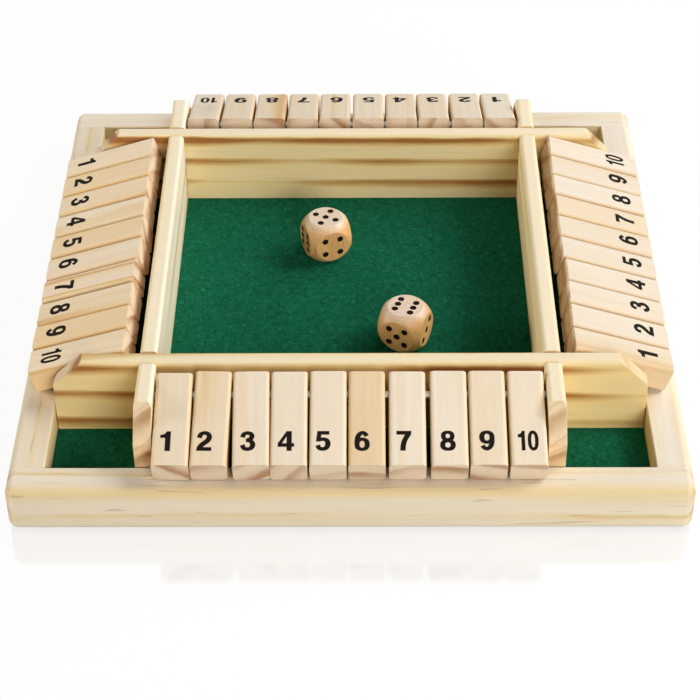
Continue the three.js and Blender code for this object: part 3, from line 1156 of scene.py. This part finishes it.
# A bowl of rings, down from the face, or a coat of paint lying in it
def sinkPip(bm, d, x, y, half, turn, coat):
    steps, rings = d["pipSteps"], d["pipRings"]
    rows = []
    for ring in range(rings):
        a = quarterTurn * ring / rings
        radius = d["pipRadius"] * math.cos(a) * (d["paintShare"] if coat else 1)
        thinning = d["rimPaint"] + (1 - d["rimPaint"]) * math.sin(a)
        depth = d["pipDepth"] * math.sin(a) - coat * thinning
        points = circle(radius, steps, x, y)
        rows.append([bm.verts.new(turn @ Vector((p.x, p.y, half - depth))) for p in points])
    for low, high in zip(rows, rows[1:]):
        band(bm, low, high)
    bm.faces.new(rows[-1])
    if coat:
        back = [bm.verts.new(turn @ Vector((p.x, p.y, half - d["pipDepth"] * d["backDepth"])))
                for p in circle(d["pipRadius"] * d["backShare"], steps, x, y)]
        band(bm, back, rows[0])
        bm.faces.new(list(reversed(back)))


def makeDie(node, d):
    spots = d["faces"][node]
    x, y, z = Vector((1, 0, 0)), Vector((0, 1, 0)), Vector((0, 0, 1))
    bm, paint = bmesh.new(), bmesh.new()
    for part, across, up in (("top", x, y), ("front", x, z), ("right", y, z)):
        for value, way in ((spots[part], up), (oppositeSum - spots[part], -up)):
            turn = Matrix((across, way, across.cross(way))).transposed()
            makeDieFace(bm, paint, d, value, turn)
    bmesh.ops.remove_doubles(bm, verts=bm.verts, dist=2e-6)
    die = meshPiece(node + "_wood", bm, dieWood)
    pips = meshPiece(node + "_pips", paint, blackInk)
    low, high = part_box(node)
    middle = (low + high) / 2
    place = Matrix.Translation(middle) @ Matrix.Rotation(math.radians(spots["turn"]), 4, "Z")
    for piece in (die, pips):
        smoothPiece(piece, math.radians(d["smoothAngle"]))
        piece.matrix_world = place
    growGrain(die, "z", d["wood"][node])
    return die, pips


for node in ("back_die", "front_die"):
    die, pips = makeDie(node, dice)
    dress(die, node, "die_wood", node)
    dress(pips, node, "black_ink")
print("dice made")

# Floor panel and felt
felt = {
    "pitch": 0.0008,
    "rise": 0.00016,
    "lift": 0.00012,
    # noises of the nap: scale and depth
    "nap": ((900, 0), (300, 7)),
}


def makeFelt(f):
    half = feltHigh.x
    count = round(2 * half / f["pitch"])
    bm = bmesh.new()
    places = [-half + 2 * half * k / count for k in range(count + 1)]
    rows = []
    for j, y in enumerate(places):
        row = []
        for i, x in enumerate(places):
            fuzz = sum(noise.noise(Vector((x * s, y * s, deep))) for s, deep in f["nap"])
            border = i in (0, count) or j in (0, count)
            z = feltHigh.z + f["lift"] + (0 if border else f["rise"] * fuzz / 2)
            row.append(bm.verts.new((x, y, z)))
        rows.append(row)
    for low, high in zip(rows, rows[1:]):
        for k in range(count):
            bm.faces.new([low[k], low[k + 1], high[k + 1], high[k]])
    rim = rows[0] + [row[-1] for row in rows[1:]] + rows[-1][-2::-1] + [row[0] for row in rows[-2:0:-1]]
    under = [bm.verts.new((v.co.x, v.co.y, feltLow.z)) for v in rim]
    band(bm, under, rim)
    bm.faces.new(list(reversed(under)))
    made = meshPiece("felt_sheet", bm, greenFelt)
    smoothPiece(made)
    return made


sheet = makeFelt(felt)
dress(sheet, "board", "green_felt", "felt_lining")
side = 2 * feltHigh.x

panelEase = 0.0003
panel = block(panelLow, panelHigh)
panel.name = "base_board"
panel.data.materials.clear()
baseBoard = pineMaterial(
    "base_board", pale=srgb(214, 186, 140), late=srgb(184, 148, 98), warm=srgb(204, 172, 122),
    end=srgb(190, 158, 112), endLate=srgb(150, 116, 74), endStrength=0.8,
    betweenStrength=0.2, endFine=0.5, roughness=0.7, specular=0.2, fibre=0.16,
    streak=0.13, rings=fineRings)
panel.data.materials.append(baseBoard)
easeEdges(panel, panelEase)
panelWood = dict(turn=4, pith=0.3, aside=0.02, lean=(0.01, 0.004), seed=21, warmth=0.4, strength=0.8,
                 ring=0.0015, flecks=0.4)
settle(panel, panelWood, Matrix(), "base_board", "base_panel")
print("felt and floor panel made")

# Floor and light
white = (1, 1, 1, 1)
studio = {
    "floorSize": 8,
    "floorGlow": 0.92,
    "floorGloss": 0.2,
    "floorBlur": 0.12,
    "bounce": 0.7,
    "world": 0.08,
    # azimuth goes from +X towards +Y
    "lamps": {
        "key_lamp": dict(azimuth=8, elevation=41, distance=1.6, size=0.6, power=13.0, colour=(1, 1, 1)),
        "back_lamp": dict(azimuth=48, elevation=38, distance=1.5, size=0.75, power=7.9, colour=(1, 1, 1)),
        "front_lamp": dict(azimuth=-68, elevation=23, distance=1.5, size=0.75, power=13.0,
                           colour=(1, 0.99, 0.97)),
        "left_lamp": dict(azimuth=180, elevation=13, distance=1.6, size=0.45, power=13.8,
                          colour=(1, 0.99, 0.98)),
    },
}


def makeFloor(s):
    bm = bmesh.new()
    bmesh.ops.create_grid(bm, x_segments=1, y_segments=1, size=s["floorSize"] / 2)
    made = meshPiece("studio_floor", bm, blackInk)
    material = bpy.data.materials.new("white_floor")
    startTree(material).clear()
    seen = add("LightPath").outputs["Is Camera Ray"]
    lit = add("BsdfDiffuse", {"Color": white})
    glow = add("Emission", {"Color": white, "Strength": 1.0})
    gloss = add("BsdfGlossy", {"Color": white, "Roughness": s["floorBlur"]})
    bounce = add("BsdfDiffuse", {"Color": (*[s["bounce"]] * 3, 1)})
    pale = add("MixShader", {0: s["floorGlow"], 1: lit.outputs[0], 2: glow.outputs[0]})
    shiny = add("MixShader", {0: s["floorGloss"], 1: pale.outputs[0], 2: gloss.outputs[0]})
    final = add("MixShader", {0: seen, 1: bounce.outputs[0], 2: shiny.outputs[0]})
    add("OutputMaterial", {"Surface": final.outputs[0]})
    made.data.materials.clear()
    made.data.materials.append(material)


def makeWorld(s):
    world = bpy.data.worlds.new("studio")
    startTree(world).clear()
    path = add("LightPath")
    seen = maths("MAXIMUM", path.outputs["Is Camera Ray"], path.outputs["Is Glossy Ray"])
    seen = maths("MAXIMUM", seen, path.outputs["Is Transmission Ray"])
    strength = maths("MULTIPLY_ADD", seen, 1 - s["world"], s["world"])
    shade = add("Background", {"Color": white, "Strength": strength})
    add("OutputWorld", {"Surface": shade.outputs[0]})
    bpy.context.scene.world = world


def makeLamp(name, lamp):
    data = bpy.data.lights.new(name, "AREA")
    data.size = lamp["size"]
    data.energy = lamp["power"]
    data.color = lamp["colour"]
    made = newObject(name, data)
    made.visible_camera = False
    azimuth, elevation = (math.radians(lamp[k]) for k in ("azimuth", "elevation"))
    level = math.cos(elevation)
    way = Vector((level * math.cos(azimuth), level * math.sin(azimuth), math.sin(elevation)))
    turn = way.to_track_quat("Z", "Y").to_matrix().to_4x4()
    made.matrix_world = Matrix.Translation(way * lamp["distance"]) @ turn


makeFloor(studio)
makeWorld(studio)
for name, lamp in studio["lamps"].items():
    makeLamp(name, lamp)
bpy.context.scene.view_settings.view_transform = "Standard"
print("studio made")
